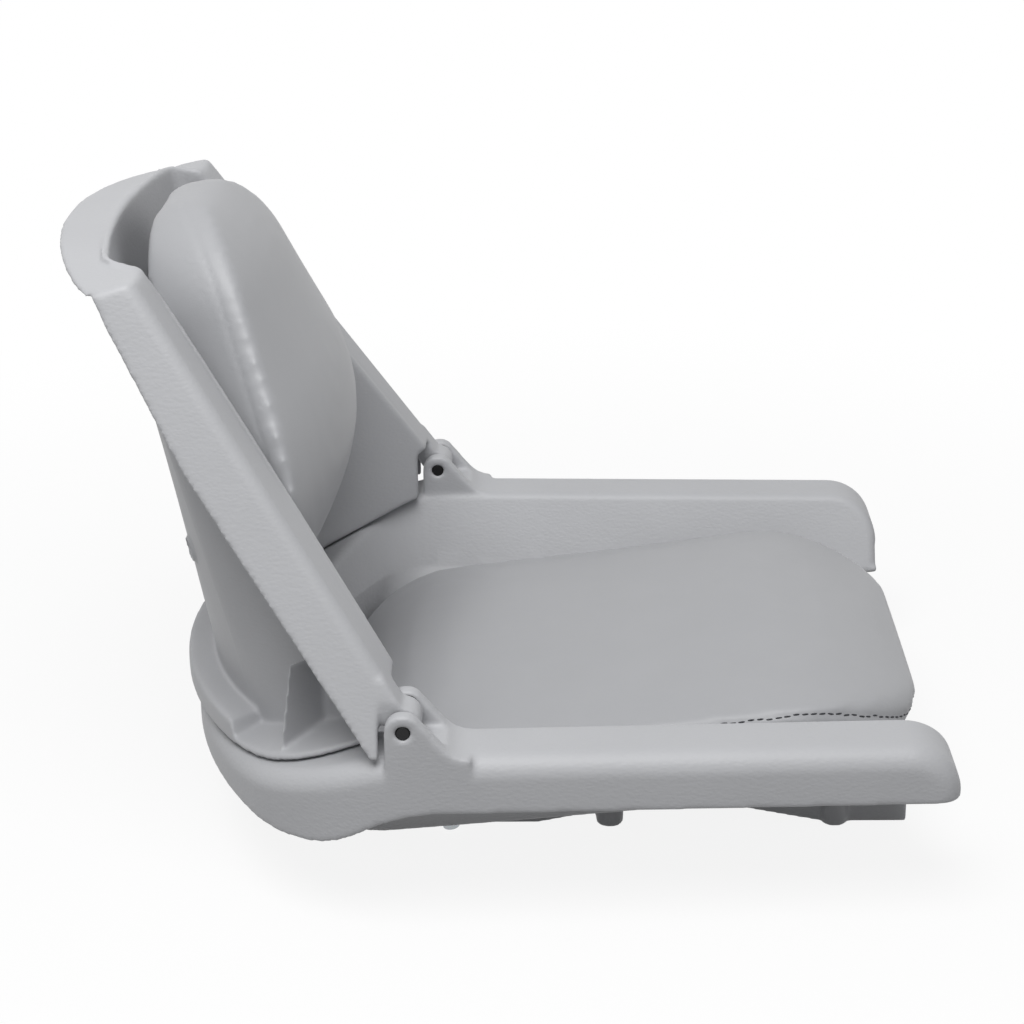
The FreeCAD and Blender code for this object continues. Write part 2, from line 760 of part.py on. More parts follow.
def pad(length, halves, flares, corner_rs, seam_h, crown, bulge, draw, nose_hs, inset):
    """A crowned cushion with drawn-in sides and rounded ends, made smaller all round by inset."""
    near_end = (0.01, 0.12, 0.42, 1.0)
    places = [corner_rs[0] * s for s in near_end]
    straight = length - corner_rs[0] - corner_rs[1]
    places.extend(corner_rs[0] + straight * s for s in (0.25, 0.5, 0.75))
    places.extend(length - corner_rs[1] * s for s in reversed(near_end))
    wires = []
    for x in places:
        share = x / length
        end = 0 if share < 0.5 else 1
        radius = corner_rs[end]
        round_in = corner_draw(min(x, length - x), radius)
        waist = draw * math.sin(math.pi * share)
        seam_half = halves[0] + (halves[1] - halves[0]) * share - round_in - waist - inset
        flare = (flares[0] + (flares[1] - flares[0]) * share) * (1 - round_in / radius)
        low_by = nose_hs[end] * round_in / radius
        reach = (x - length / 2) * (1 - 2 * inset / length) + length / 2
        rise = crown * (1.25 - round_in / radius) * (seam_half / max(halves)) ** 2
        floor = nose_lift * round_in / radius - inset
        wires.append(pad_section(reach, seam_half + flare, seam_half, seam_h - low_by - inset,
                                 rise, bulge, floor))
    return loft(wires, ruled=False)


def seat_pad(inset):
    return pad(seat_pad_len, seat_pad_halves, seat_pad_flares, seat_pad_corner_rs, seat_pad_seam_h,
               seat_pad_crown, seat_pad_bulge, seat_pad_draw, seat_pad_nose_hs, inset)


def back_pad(inset):
    return pad(back_pad_len, back_pad_halves, back_pad_flares, back_pad_corner_rs, back_pad_seam_h,
               back_pad_crown, back_pad_bulge, back_pad_draw, back_pad_nose_hs, inset)


def slab(z_from, z_to):
    return Part.makeBox(2 * far, 2 * far, z_to - z_from, V(-far, -far, z_from))


def cover_pieces(make_pad, seam_h):
    """The sewn cover, split at its seam: panel on the crown and boxing round the sides."""
    cover = make_pad(0.0).cut(make_pad(cover_t))
    cover = cover.common(slab(rest_gap, far))
    seam = seam_h - seam_drop
    return cover.common(slab(seam, far)), cover.common(slab(rest_gap, seam))


def tnut_parts(place):
    low = V(place.x, place.y, board_t - tnut_flange_t)
    flange_disc = Part.makeCylinder(tnut_flange_d / 2, tnut_flange_t, low)
    barrel = Part.makeCylinder(tnut_barrel_d / 2, board_t - tnut_flange_t, V(place.x, place.y, 0))
    return flange_disc.fuse(barrel)


def board_and_foam(make_pad, places):
    core = make_pad(cover_t + rest_gap)
    board = core.common(slab(0.0, board_t))
    foam = core.common(slab(board_t, far))
    for place in places:
        board = board.cut(tnut_parts(place))
        foam = foam.cut(Part.makeCylinder(screw_d / 2 + screw_hole_gap, board_t, place + UP * (board_t / 2)))
    return board, foam


def make_tnuts(places):
    nuts = []
    for place in places:
        nut = tnut_parts(place)
        nuts.append(nut.cut(Part.makeCylinder(screw_d / 2, far, place - UP * (far / 2))).removeSplitter())
    return Part.makeCompound(nuts)


def make_washers(places, seats):
    discs = []
    for place, seat in zip(places, seats):
        low = V(place.x, place.y, seat - washer_t)
        disc = Part.makeCylinder(washer_d / 2, washer_t, low)
        discs.append(disc.cut(Part.makeCylinder(screw_d / 2 + screw_hole_gap, washer_t, low)))
    return Part.makeCompound(discs)


def make_screws(places, seats):
    """Pan-head screws up through the shell into the board's nuts."""
    screws = []
    for place, seat in zip(places, seats):
        under = V(place.x, place.y, seat - washer_t)
        shank = Part.makeCylinder(screw_d / 2, board_t - under.z, under)
        head = Part.makeCylinder(screw_head_d / 2, screw_head_h, under - UP * screw_head_h)
        rims = [e for e in head.Edges if e.Closed and e.CenterOfMass.z < under.z - screw_head_h / 2]
        head = head.makeFillet(screw_head_h / 3, rims)
        socket = Part.makeCylinder(screw_d / 4, screw_head_h / 2, under - UP * screw_head_h)
        screws.append(shank.fuse(head).cut(socket).removeSplitter())
    return Part.makeCompound(screws)


def cushion_nodes(name, panel_name, make_pad, seam_h, place, screw_at, seats):
    panel, boxing = cover_pieces(make_pad, seam_h)
    board, foam = board_and_foam(make_pad, screw_at)
    shapes = {
        panel_name: panel,
        name + "_boxing": boxing,
        name + "_board": board,
        name + "_foam": foam,
        name + "_tnuts": make_tnuts(screw_at),
        name + "_washers": make_washers(screw_at, seats),
        name + "_screws": make_screws(screw_at, seats),
    }
    return {node: placed(shape, place) for node, shape in shapes.items()}


def make_nodes():
    nodes = {"seat_shell": make_seat_shell(), "back_shell": make_back_shell()}
    left_pin, right_pin = both_sides(make_hinge_pin())
    left_bushes, right_bushes = both_sides(make_hinge_bushes())
    nodes["hinge_pin_left"] = left_pin
    nodes["hinge_pin_right"] = right_pin
    nodes["hinge_bushes_left"] = left_bushes
    nodes["hinge_bushes_right"] = right_bushes
    nodes["mount_inserts"] = make_mount_inserts()
    seat_at = screw_places(seat_screw_along, seat_screw_half)
    seat_seats = [seat_boss_bottom()] * len(seat_at)
    nodes.update(cushion_nodes("seat_cushion", "seat_cushion_top_panel", seat_pad, seat_pad_seam_h,
                               seat_place(), seat_at, seat_seats))
    back_at = screw_places(back_screw_along, back_screw_half)
    back_seats = [back_boss_seat(place) for place in back_at]
    nodes.update(cushion_nodes("back_cushion", "back_cushion_front_panel", back_pad, back_pad_seam_h,
                               back_place(), back_at, back_seats))
    return nodes


def main():
    os.makedirs("parts", exist_ok=True)
    for name, shape in make_nodes().items():
        box = shape.BoundBox
        print(name, shape.isValid(), len(shape.Solids), round(shape.Volume / 1000, 1), "cm3",
              [round(v, 1) for v in (box.XMin, box.XMax, box.YMin, box.YMax, box.ZMin, box.ZMax)])
        shape.exportStep("parts/" + name + ".step")


main()
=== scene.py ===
import math

import bmesh
import bpy
import numpy as np
from mathutils import Matrix, Vector, noise
from mathutils.bvhtree import BVHTree
from mathutils.kdtree import KDTree


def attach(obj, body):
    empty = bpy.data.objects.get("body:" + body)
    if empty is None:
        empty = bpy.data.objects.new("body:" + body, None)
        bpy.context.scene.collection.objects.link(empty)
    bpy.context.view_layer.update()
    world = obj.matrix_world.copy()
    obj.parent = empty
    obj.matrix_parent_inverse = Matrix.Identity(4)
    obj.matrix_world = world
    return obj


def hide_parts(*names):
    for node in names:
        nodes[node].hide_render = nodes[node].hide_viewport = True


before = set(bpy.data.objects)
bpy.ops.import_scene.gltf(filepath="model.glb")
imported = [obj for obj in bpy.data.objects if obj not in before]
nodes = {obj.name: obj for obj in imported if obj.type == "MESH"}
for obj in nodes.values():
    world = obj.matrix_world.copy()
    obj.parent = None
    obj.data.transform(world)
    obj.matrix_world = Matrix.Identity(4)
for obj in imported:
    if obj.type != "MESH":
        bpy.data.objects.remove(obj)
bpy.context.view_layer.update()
scene = bpy.context.scene
scene.view_settings.view_transform = "Standard"
mm = 0.001
print("frame loaded,", len(nodes), "nodes")


# Small helpers

def linear(hexColour):
    parts = [int(hexColour[i:i + 2], 16) / 255 for i in (0, 2, 4)]
    return [c / 12.92 if c <= 0.04045 else ((c + 0.055) / 1.055) ** 2.4 for c in parts] + [1.0]


def setSockets(node, tree, sockets):
    for name, value in sockets.items():
        if isinstance(value, bpy.types.NodeSocket):
            tree.links.new(value, node.inputs[name])
        else:
            node.inputs[name].default_value = value


def addNode(tree, kind, settings=None, sockets=None):
    node = tree.nodes.new(kind)
    for name, value in (settings or {}).items():
        setattr(node, name, value)
    setSockets(node, tree, sockets or {})
    return node


def newMaterial(name):
    material = bpy.data.materials.new(name)
    material.use_nodes = True
    tree = material.node_tree
    return material, tree, tree.nodes["Principled BSDF"]


def newObject(name, mesh):
    thing = bpy.data.objects.new(name, mesh)
    scene.collection.objects.link(thing)
    return thing


def applyModifiers(thing):
    bpy.context.view_layer.update()
    depsgraph = bpy.context.evaluated_depsgraph_get()
    mesh = bpy.data.meshes.new_from_object(thing.evaluated_get(depsgraph))
    thing.modifiers.clear()
    thing.data = mesh


def remesh(thing, voxelMm):
    skin = thing.modifiers.new("skin", "REMESH")
    skin.mode = "VOXEL"
    skin.voxel_size = voxelMm * mm
    applyModifiers(thing)


def readPoints(mesh, layer="co"):
    flat = np.zeros(len(mesh.vertices) * 3)
    mesh.vertices.foreach_get(layer, flat)
    return flat.reshape(-1, 3)


def writePoints(mesh, points):
    mesh.vertices.foreach_set("co", points.ravel())
    mesh.update()


def smoothShade(mesh):
    mesh.polygons.foreach_set("use_smooth", [True] * len(mesh.polygons))
    mesh.update()


def dress(thing, material):
    thing.data.materials.clear()
    thing.data.materials.append(material)


def pointTree(spots):
    tree = KDTree(len(spots))
    for i, spot in enumerate(spots):
        tree.insert(spot, i)
    tree.balance()
    return tree


def surfaceTree(mesh):
    return BVHTree.FromPolygons([v.co for v in mesh.vertices], [p.vertices for p in mesh.polygons])


# Materials

# Polyethylene, injection moulded in a grained tool: an even, dull light grey, with a soft shine that the
# grain breaks up
plasticLook = {
    "colour": "b9babd", "shade": "b2b3b6", "toneMm": 60, "roughness": 0.5, "ior": 1.5,
    "grainMm": 1.7, "grainDepthMm": 0.10, "grainStretch": 1.7, "bendMm": 3.4,
    "gritMm": 0.7, "gritDepthMm": 0.02,
}


def grainedPolyethylene(look):
    material, tree, shader = newMaterial("polyethylene, moulded with a leather grain")
    place = addNode(tree, "ShaderNodeTexCoord").outputs["Object"]
    tone = addNode(tree, "ShaderNodeTexNoise", None, {
        "Vector": place, "Scale": 1 / (look["toneMm"] * mm), "Detail": 3.0})
    colour = addNode(tree, "ShaderNodeMix", {"data_type": "RGBA"}, {
        "Factor": tone.outputs["Fac"], "A": linear(look["shade"]), "B": linear(look["colour"])})
    # the cells of the grain are wider than high, and a little coarse so that they show at this size
    lie = addNode(tree, "ShaderNodeMapping", None, {
        "Vector": place, "Scale": (1 / look["grainStretch"], 1 / look["grainStretch"], 1.0)})
    wander = addNode(tree, "ShaderNodeTexNoise", None, {
        "Vector": lie.outputs["Vector"], "Scale": 1 / (look["bendMm"] * mm), "Detail": 2.0})
    offset = addNode(tree, "ShaderNodeVectorMath", {"operation": "SCALE"}, {
        "Vector": wander.outputs["Color"], "Scale": look["grainMm"] * mm})
    bent = addNode(tree, "ShaderNodeVectorMath", {"operation": "ADD"}, {
        0: lie.outputs["Vector"], 1: offset.outputs["Vector"]})
    cells = addNode(tree, "ShaderNodeTexVoronoi", {"feature": "SMOOTH_F1"}, {
        "Vector": bent.outputs["Vector"], "Scale": 1 / (look["grainMm"] * mm), "Smoothness": 0.6})
    grit = addNode(tree, "ShaderNodeTexNoise", None, {
        "Vector": place, "Scale": 1 / (look["gritMm"] * mm), "Detail": 1.0})
    fine = addNode(tree, "ShaderNodeBump", None, {
        "Height": grit.outputs["Fac"], "Distance": look["gritDepthMm"] * mm})
    grain = addNode(tree, "ShaderNodeBump", {"invert": True}, {
        "Height": cells.outputs["Distance"], "Distance": look["grainDepthMm"] * mm,
        "Normal": fine.outputs["Normal"]})
    setSockets(shader, tree, {
        "Base Color": colour.outputs["Result"], "Roughness": look["roughness"], "IOR": look["ior"],
        "Normal": grain.outputs["Normal"]})
    return material


# PVC-coated upholstery cloth, calendered: matt, nearly even grey with a very fine hide grain
vinylLook = {
    "colour": "a9aaad", "shade": "a3a4a7", "toneMm": 45, "roughness": 0.48, "ior": 1.52,
    "grainMm": 1.3, "grainDepthMm": 0.05, "creaseMm": 7.0, "creaseDepthMm": 0.16, "sheen": 0.08,
}


def hideGrainVinyl(look):
    material, tree, shader = newMaterial("vinyl, calendered with a hide grain")
    place = addNode(tree, "ShaderNodeTexCoord").outputs["Object"]
    tone = addNode(tree, "ShaderNodeTexNoise", None, {
        "Vector": place, "Scale": 1 / (look["toneMm"] * mm), "Detail": 4.0, "Roughness": 0.6})
    colour = addNode(tree, "ShaderNodeMix", {"data_type": "RGBA"}, {
        "Factor": tone.outputs["Fac"], "A": linear(look["shade"]), "B": linear(look["colour"])})
    cells = addNode(tree, "ShaderNodeTexVoronoi", {"feature": "DISTANCE_TO_EDGE"}, {
        "Vector": place, "Scale": 1 / (look["grainMm"] * mm)})
    crease = addNode(tree, "ShaderNodeTexNoise", {"noise_type": "RIDGED_MULTIFRACTAL"}, {
        "Vector": place, "Scale": 1 / (look["creaseMm"] * mm), "Detail": 3.0, "Distortion": 0.8})
    # creases show only where the cover is gathered, at its seams
    gather = addNode(tree, "ShaderNodeAttribute", {"attribute_name": "gather"})
    creaseHere = addNode(tree, "ShaderNodeMath", {"operation": "MULTIPLY"}, {
        0: crease.outputs["Fac"], 1: gather.outputs["Fac"]})
    folds = addNode(tree, "ShaderNodeBump", None, {
        "Height": creaseHere.outputs["Value"], "Distance": look["creaseDepthMm"] * mm})
    grain = addNode(tree, "ShaderNodeBump", None, {
        "Height": cells.outputs["Distance"], "Distance": look["grainDepthMm"] * mm,
        "Normal": folds.outputs["Normal"]})
    setSockets(shader, tree, {
        "Base Color": colour.outputs["Result"], "Roughness": look["roughness"], "IOR": look["ior"],
        "Sheen Weight": look["sheen"], "Normal": grain.outputs["Normal"]})
    return material


# Bonded polyester thread, twisted: dull, dark or grey, with its twist as slanting ribs
# (a wave texture of scale 1 repeats about every wavePeriod)
threadLook = {
    "dark": "35363a", "grey": "7d7e82", "roughness": 0.75, "twistMm": 0.9, "twistDepthMm": 0.12,
    "wavePeriod": 0.3,
}


def twistedThread(name, hexColour, look):
    material, tree, shader = newMaterial(name)
    place = addNode(tree, "ShaderNodeTexCoord").outputs["Object"]
    twist = addNode(tree, "ShaderNodeTexWave", {"bands_direction": "DIAGONAL"}, {
        "Vector": place, "Scale": look["wavePeriod"] / (look["twistMm"] * mm), "Distortion": 1.5})
    ribs = addNode(tree, "ShaderNodeBump", None, {
        "Height": twist.outputs["Fac"], "Distance": look["twistDepthMm"] * mm})
    setSockets(shader, tree, {
        "Base Color": linear(hexColour), "Roughness": look["roughness"],
        "Normal": ribs.outputs["Normal"]})
    return material


# Mild steel rod, black oxide: almost black, slightly oily, with turning marks on its ends
pinLook = {
    "colour": "1b1b1c", "worn": "2b2b2c", "roughness": 0.42, "metallic": 0.6,
    "marksMm": 0.7, "marksDepthMm": 0.06,
}


def blackOxideSteel(look):
    material, tree, shader = newMaterial("steel, turned and black oxidised")
    place = addNode(tree, "ShaderNodeTexCoord").outputs["Object"]
    marks = addNode(tree, "ShaderNodeTexNoise", None, {
        "Vector": place, "Scale": 1 / (look["marksMm"] * mm), "Detail": 2.0})
    colour = addNode(tree, "ShaderNodeMix", {"data_type": "RGBA"}, {
        "Factor": marks.outputs["Fac"], "A": linear(look["colour"]), "B": linear(look["worn"])})
    rough = addNode(tree, "ShaderNodeBump", None, {
        "Height": marks.outputs["Fac"], "Distance": look["marksDepthMm"] * mm})
    setSockets(shader, tree, {
        "Base Color": colour.outputs["Result"], "Roughness": look["roughness"],
        "Metallic": look["metallic"], "Normal": rough.outputs["Normal"]})
    return material


# Nylon, moulded: black, waxy, with a faint matt texture
nylonLook = {
    "colour": "222224", "roughness": 0.38, "metallic": 0.0, "cloud": 0.25,
    "grainMm": 0.8, "grainDepthMm": 0.03,
}
# Free-cutting brass, turned: warm yellow, a little uneven from the lathe
brassLook = {
    "colour": "c9a45a", "roughness": 0.32, "metallic": 1.0, "cloud": 0.25,
    "grainMm": 0.5, "grainDepthMm": 0.03,
}
# Mild steel, zinc plated: pale, slightly blue and cloudy
zincLook = {
    "colour": "b8bcc0", "roughness": 0.35, "metallic": 1.0, "cloud": 0.25,
    "grainMm": 1.2, "grainDepthMm": 0.02,
}


def smallPieceFinish(name, look):
    material, tree, shader = newMaterial(name)
    place = addNode(tree, "ShaderNodeTexCoord").outputs["Object"]
    cloud = addNode(tree, "ShaderNodeTexNoise", None, {
        "Vector": place, "Scale": 1 / (look["grainMm"] * mm), "Detail": 2.0})
    colour = addNode(tree, "ShaderNodeMix", {"data_type": "RGBA", "blend_type": "MULTIPLY"}, {
        "Factor": look["cloud"], "A": linear(look["colour"]), "B": cloud.outputs["Color"]})
    surface = addNode(tree, "ShaderNodeBump", None, {
        "Height": cloud.outputs["Fac"], "Distance": look["grainDepthMm"] * mm})
    setSockets(shader, tree, {
        "Base Color": colour.outputs["Result"], "Roughness": look["roughness"],
        "Metallic": look["metallic"], "Normal": surface.outputs["Normal"]})
    return material


plastic = grainedPolyethylene(plasticLook)
vinyl = hideGrainVinyl(vinylLook)
darkThread = twistedThread("polyester thread, twisted, charcoal", threadLook["dark"], threadLook)
greyThread = twistedThread("polyester thread, twisted, grey", threadLook["grey"], threadLook)
zincSteel = smallPieceFinish("steel, zinc plated", zincLook)
finishes = {
    "hinge_pin": blackOxideSteel(pinLook),
    "hinge_bushes": smallPieceFinish("nylon, moulded black", nylonLook),
    "mount_inserts": smallPieceFinish("brass, turned", brassLook),
    "tnuts": zincSteel, "washers": zincSteel, "screws": zincSteel,
}
for nodeName, node in nodes.items():
    for key, finish in finishes.items():
        if key in nodeName:
            dress(node, finish)
            smoothShade(node.data)
print("materials made")


# Moulded shells: the CAD form with every edge softened as a mould leaves it

seatShellSoft = {
    "node": "seat_shell", "name": "seatShell", "body": "base", "voxelMm": 1.25, "sharpDegrees": 28,
    "edgeMm": 2.5, "fadeMm": 6.0, "softSteps": 16, "keepFaces": 0.2, "ridge": None,
}
# the ridge runs from the top of the rail's front to the collar's outer corner, given for the left side
backShellSoft = {
    "node": "back_shell", "name": "backShell", "body": "backrest", "voxelMm": 1.25, "sharpDegrees": 28,
    "edgeMm": 3.0, "fadeMm": 7.0, "softSteps": 22, "keepFaces": 0.22,
    "ridge": {"from": (-188, 128, 341), "to": (-218, 154, 335), "parts": 8, "reachMm": 15,
              "fullShare": 0.3, "steps": 60},
}
mergeMm = 0.01
weightLevels = 10


def sharpSpots(mesh, soft):
    work = bmesh.new()
    work.from_mesh(mesh)
    bmesh.ops.remove_doubles(work, verts=work.verts, dist=mergeMm * mm)
    limit = math.radians(soft["sharpDegrees"])
    spots = []
    for edge in work.edges:
        if len(edge.link_faces) == 2 and edge.calc_face_angle(0) > limit:
            # a spot every millimetre or less along the edge
            one, two = (v.co.copy() for v in edge.verts)
            count = int((two - one).length / mm) + 2
            spots += [one.lerp(two, i / (count - 1)) for i in range(count)]
    work.free()
    return spots


def awayFrom(points, spots):
    tree = pointTree(spots)
    return np.array([tree.find(p)[2] for p in points]) / mm


def easeWhere(shell, name, weights, steps):
    group = shell.vertex_groups.new(name=name)
    levels = np.ceil(weights * weightLevels).astype(int)
    for level in range(1, weightLevels + 1):
        group.add(np.nonzero(levels == level)[0].tolist(), level / weightLevels, "REPLACE")
    ease = shell.modifiers.new(name, "SMOOTH")
    ease.vertex_group = name
    ease.factor = 0.5
    ease.iterations = steps


def ridgeSpots(ridge, side):
    ends = [Vector((p[0], side * p[1], p[2])) * mm for p in (ridge["from"], ridge["to"])]
    return [ends[0].lerp(ends[1], i / ridge["parts"]) for i in range(ridge["parts"] + 1)]


def softenShell(soft):
    source = nodes[soft["node"]].data
    shell = newObject(soft["name"], source.copy())
    remesh(shell, soft["voxelMm"])
    # the even mesh goes back onto the true surface, and only what lies near an edge is eased
    surface = surfaceTree(source)
    points = np.array([surface.find_nearest(Vector(p))[0] for p in readPoints(shell.data)])
    writePoints(shell.data, points)
    away = awayFrom(points, sharpSpots(source, soft))
    nearEdge = np.clip((soft["fadeMm"] - away) / (soft["fadeMm"] - soft["edgeMm"]), 0, 1)
    easeWhere(shell, "edges", nearEdge, soft["softSteps"])
    ridge = soft["ridge"]
    if ridge:
        spots = ridgeSpots(ridge, -1) + ridgeSpots(ridge, 1)
        nearRidge = np.clip(1 + ridge["fullShare"] - awayFrom(points, spots) / ridge["reachMm"], 0, 1)
        easeWhere(shell, "ridge", nearRidge, ridge["steps"])
    lighter = shell.modifiers.new("lighter", "DECIMATE")
    lighter.ratio = soft["keepFaces"]
    applyModifiers(shell)
    smoothShade(shell.data)
    dress(shell, plastic)
    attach(shell, soft["body"])
    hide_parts(soft["node"])
    print(soft["name"], len(shell.data.polygons), "faces")


softenShell(seatShellSoft)
softenShell(backShellSoft)


# Cushions, in millimetres: each is drawn lying on its board, u along it, z up through its thickness

# a pair of sizes is for the end at u = 0 and the far end
seatPad = {
    "name": "seatCushion", "body": "base", "origin": (-95, 0, 11.5), "turn": -7.5,
    "length": 337, "halves": (150, 146), "footIn": (30, 3), "cornerR": (62, 80), "edgeHeight": 43,
    "noseDrop": (15, 21), "noseEase": 1.0, "noseLift": 10, "bulge": 6, "draw": 3,
    "crown": 9, "cornerCrown": 0.25, "fill": 0.75,
    "seamDrop": 1.0, "seamFall": 16, "seamDepth": 0.6, "seamWidth": 2.0,
    "gatherReach": 10, "puckerDepth": 0.08,
    "stitch": {"name": "seatTopstitch", "pitch": 5.2, "length": 4.3, "radius": 0.6, "sink": 0.15},
    "nodes": ("seat_cushion_top_panel", "seat_cushion_boxing",
              "seat_cushion_foam", "seat_cushion_board"),
}
backPad = {
    "name": "backCushion", "body": "backrest", "origin": (-206, 0, 343), "turn": 71,
    "length": 208, "halves": (70, 189), "footIn": (6, 62), "cornerR": (52, 104), "edgeHeight": 52,
    "noseDrop": (16, 38), "noseEase": 0.0, "noseLift": 10, "bulge": 3.5, "draw": 2,
    "crown": 36, "cornerCrown": 0.25, "fill": 0.8,
    "seamDrop": 11.0, "seamFall": 0, "seamDepth": 0.35, "seamWidth": 1.4,
    "gatherReach": 14, "puckerDepth": 0.05,
    "stitch": {"name": "backSeamThread", "pitch": 3.2, "length": 2.6, "radius": 0.4, "sink": 0.5},
    "nodes": ("back_cushion_front_panel", "back_cushion_boxing",
              "back_cushion_foam", "back_cushion_board"),
}
# the same for both: the mesh a pad starts from, its filling, its seam and the form of a stitch
padMesh = {
    "outlineSteps": 200, "around": 180,
    "boxing": (0, 0.2, 0.4, 0.6, 0.8, 1.0), "panel": (0.95, 0.87, 0.75, 0.6, 0.45, 0.3, 0.15),
}
filling = {
    "slack": 1.5, "voxel": 4, "held": 3, "pressure": 1.0, "stiffness": 60, "frames": 20,
    "cap": 2, "easeSteps": 4,
}
# a ripple is its step along the seam, its row in the noise and its height
seamForm = {
    "around": 700, "lowest": 0.3, "rings": 60, "lipHeight": 0.15, "lipAway": 3, "lipWidth": 1.6,
    "ripples": ((0.55, 0, 1.0), (1.3, 7, 0.6)),
}
stitchForm = {"sides": 8, "rings": 6, "blunt": 0.45, "tip": 0.12, "bow": 0.5, "ahead": 1}


def runLength(path):
    return np.concatenate([[0], np.cumsum(np.linalg.norm(np.diff(path, axis=0), axis=1))])


def pointsAt(path, run, at):
    return np.stack([np.interp(at, run, path[:, i]) for i in range(path.shape[1])], 1)


def cornerDraw(distance, radius):
    reach = np.clip(radius - distance, 0, radius)
    return radius - np.sqrt(radius ** 2 - reach ** 2)


def padSizes(pad, u):
    u = np.clip(u, 0, pad["length"])
    share = u / pad["length"]
    end = (share > 0.5).astype(int)
    radius = np.array(pad["cornerR"], float)[end]
    fromEnd = np.minimum(u, pad["length"] - u)
    roundIn = cornerDraw(fromEnd, radius)
    turnIn = roundIn / radius
    dropIn = turnIn + (np.clip(1 - fromEnd / radius, 0, 1) ** 2 - turnIn) * pad["noseEase"]
    full = pad["halves"][0] + (pad["halves"][1] - pad["halves"][0]) * share
    half = full - roundIn - pad["draw"] * np.sin(math.pi * share)
    edge = pad["edgeHeight"] - np.array(pad["noseDrop"], float)[end] * dropIn
    rise = pad["crown"] * (1 + pad["cornerCrown"] - turnIn) * (half / max(pad["halves"])) ** 2
    footIn = (pad["footIn"][0] + (pad["footIn"][1] - pad["footIn"][0]) * share) * (1 - turnIn)
    return {"half": half, "edge": edge, "rise": rise, "footIn": footIn, "turnIn": turnIn}


def planOutline(pad, count):
    u = pad["length"] * (1 - np.cos(np.linspace(0, math.pi, padMesh["outlineSteps"]))) / 2
    side = np.stack([u, padSizes(pad, u)["half"]], 1)
    loop = np.concatenate([side, side[::-1] * (1, -1), side[:1]])
    run = runLength(loop)
    return pointsAt(loop, run, np.linspace(0, run[-1], count, endpoint=False))


def boxingRing(pad, plan, share):
    # share 0 is the foot, 1 the cushion's edge, and the bulge is greatest halfway
    sizes = padSizes(pad, plan[:, 0])
    across = plan[:, 1] / np.maximum(sizes["half"], 1)
    foot = pad["noseLift"] * sizes["turnIn"]
    outward = np.stack([plan[:, 0] - pad["length"] / 2, plan[:, 1]], 1)
    outward /= np.linalg.norm(outward, axis=1)[:, None]
    belly = pad["bulge"] * 4 * share * (1 - share)
    flat = plan + outward * belly
    flat[:, 1] -= across * sizes["footIn"] * (1 - share)
    return np.column_stack([flat, foot + (sizes["edge"] - foot) * share])


def panelRing(pad, plan, share):
    # share 1 is the cushion's edge, 0 its middle
    middle = np.array([pad["length"] / 2, 0])
    flat = middle + (plan - middle) * share
    sizes = padSizes(pad, flat[:, 0])
    across = np.clip(flat[:, 1] / np.maximum(sizes["half"], 1), -1, 1)
    return np.column_stack([flat, sizes["edge"] + sizes["rise"] * (1 - across ** 2)])


def padPlace(pad):
    origin = Matrix.Translation(Vector(pad["origin"]) * mm)
    return origin @ Matrix.Rotation(math.radians(pad["turn"]), 4, "Y")


def toFrame(pad, points):
    place = np.array(padPlace(pad))
    return points * mm @ place[:3, :3].T + place[:3, 3]


def padForm(pad):
    outline = planOutline(pad, padMesh["around"])
    middle = np.array([pad["length"] / 2, 0])
    # the foot is full size, and the cover's edge starts slack so that the filling can stretch it
    taut = 1 - filling["slack"] / max(pad["halves"])
    rings = [boxingRing(pad, middle + (outline - middle) * (1 - share + share * taut), share)
             for share in padMesh["boxing"]]
    plan = middle + (outline - middle) * taut
    rings += [panelRing(pad, plan, share) for share in padMesh["panel"]]
    count = len(plan)
    points = np.concatenate(rings + [rings[0].mean(0)[None], rings[-1].mean(0)[None]])
    faces = []
    for low in range(len(rings) - 1):
        for i in range(count):
            j = (i + 1) % count
            faces.append((low * count + i, low * count + j, (low + 1) * count + j, (low + 1) * count + i))
    last = (len(rings) - 1) * count
    for i in range(count):
        j = (i + 1) % count
        faces.append((j, i, len(points) - 2))
        faces.append((last + i, last + j, len(points) - 1))
    mesh = bpy.data.meshes.new(pad["name"])
    mesh.from_pydata(toFrame(pad, points).tolist(), [], faces)
    mesh.update()
    return mesh


def swell(cushion, pad):
    # gas pressure fills the cover out; its underside stays on the board
    remesh(cushion, filling["voxel"])
    start = readPoints(cushion.data)
    place = np.array(padPlace(pad))
    height = ((start - place[:3, 3]) @ place[:3, :3])[:, 2]
    held = cushion.vertex_groups.new(name="held")
    held.add(np.nonzero(height < filling["held"] * mm)[0].tolist(), 1.0, "REPLACE")
    cloth = cushion.modifiers.new("swell", "CLOTH")
    cloth.settings.use_pressure = True
    cloth.settings.uniform_pressure_force = filling["pressure"]
    cloth.settings.tension_stiffness = cloth.settings.compression_stiffness = filling["stiffness"]
    cloth.settings.bending_stiffness = filling["stiffness"] / 2
    cloth.settings.effector_weights.gravity = 0
    cloth.settings.vertex_group_mass = "held"
    for step in range(1, filling["frames"] + 1):
        scene.frame_set(step)
    applyModifiers(cushion)
    scene.frame_set(1)
    # no point moves further than the cap
    moved = readPoints(cushion.data) - start
    far = np.maximum(np.linalg.norm(moved, axis=1) / (filling["cap"] * mm), 1)[:, None]
    writePoints(cushion.data, start + moved / far)
    ease = cushion.modifiers.new("ease", "SMOOTH")
    ease.factor = 0.5
    ease.iterations = filling["easeSteps"]
    applyModifiers(cushion)


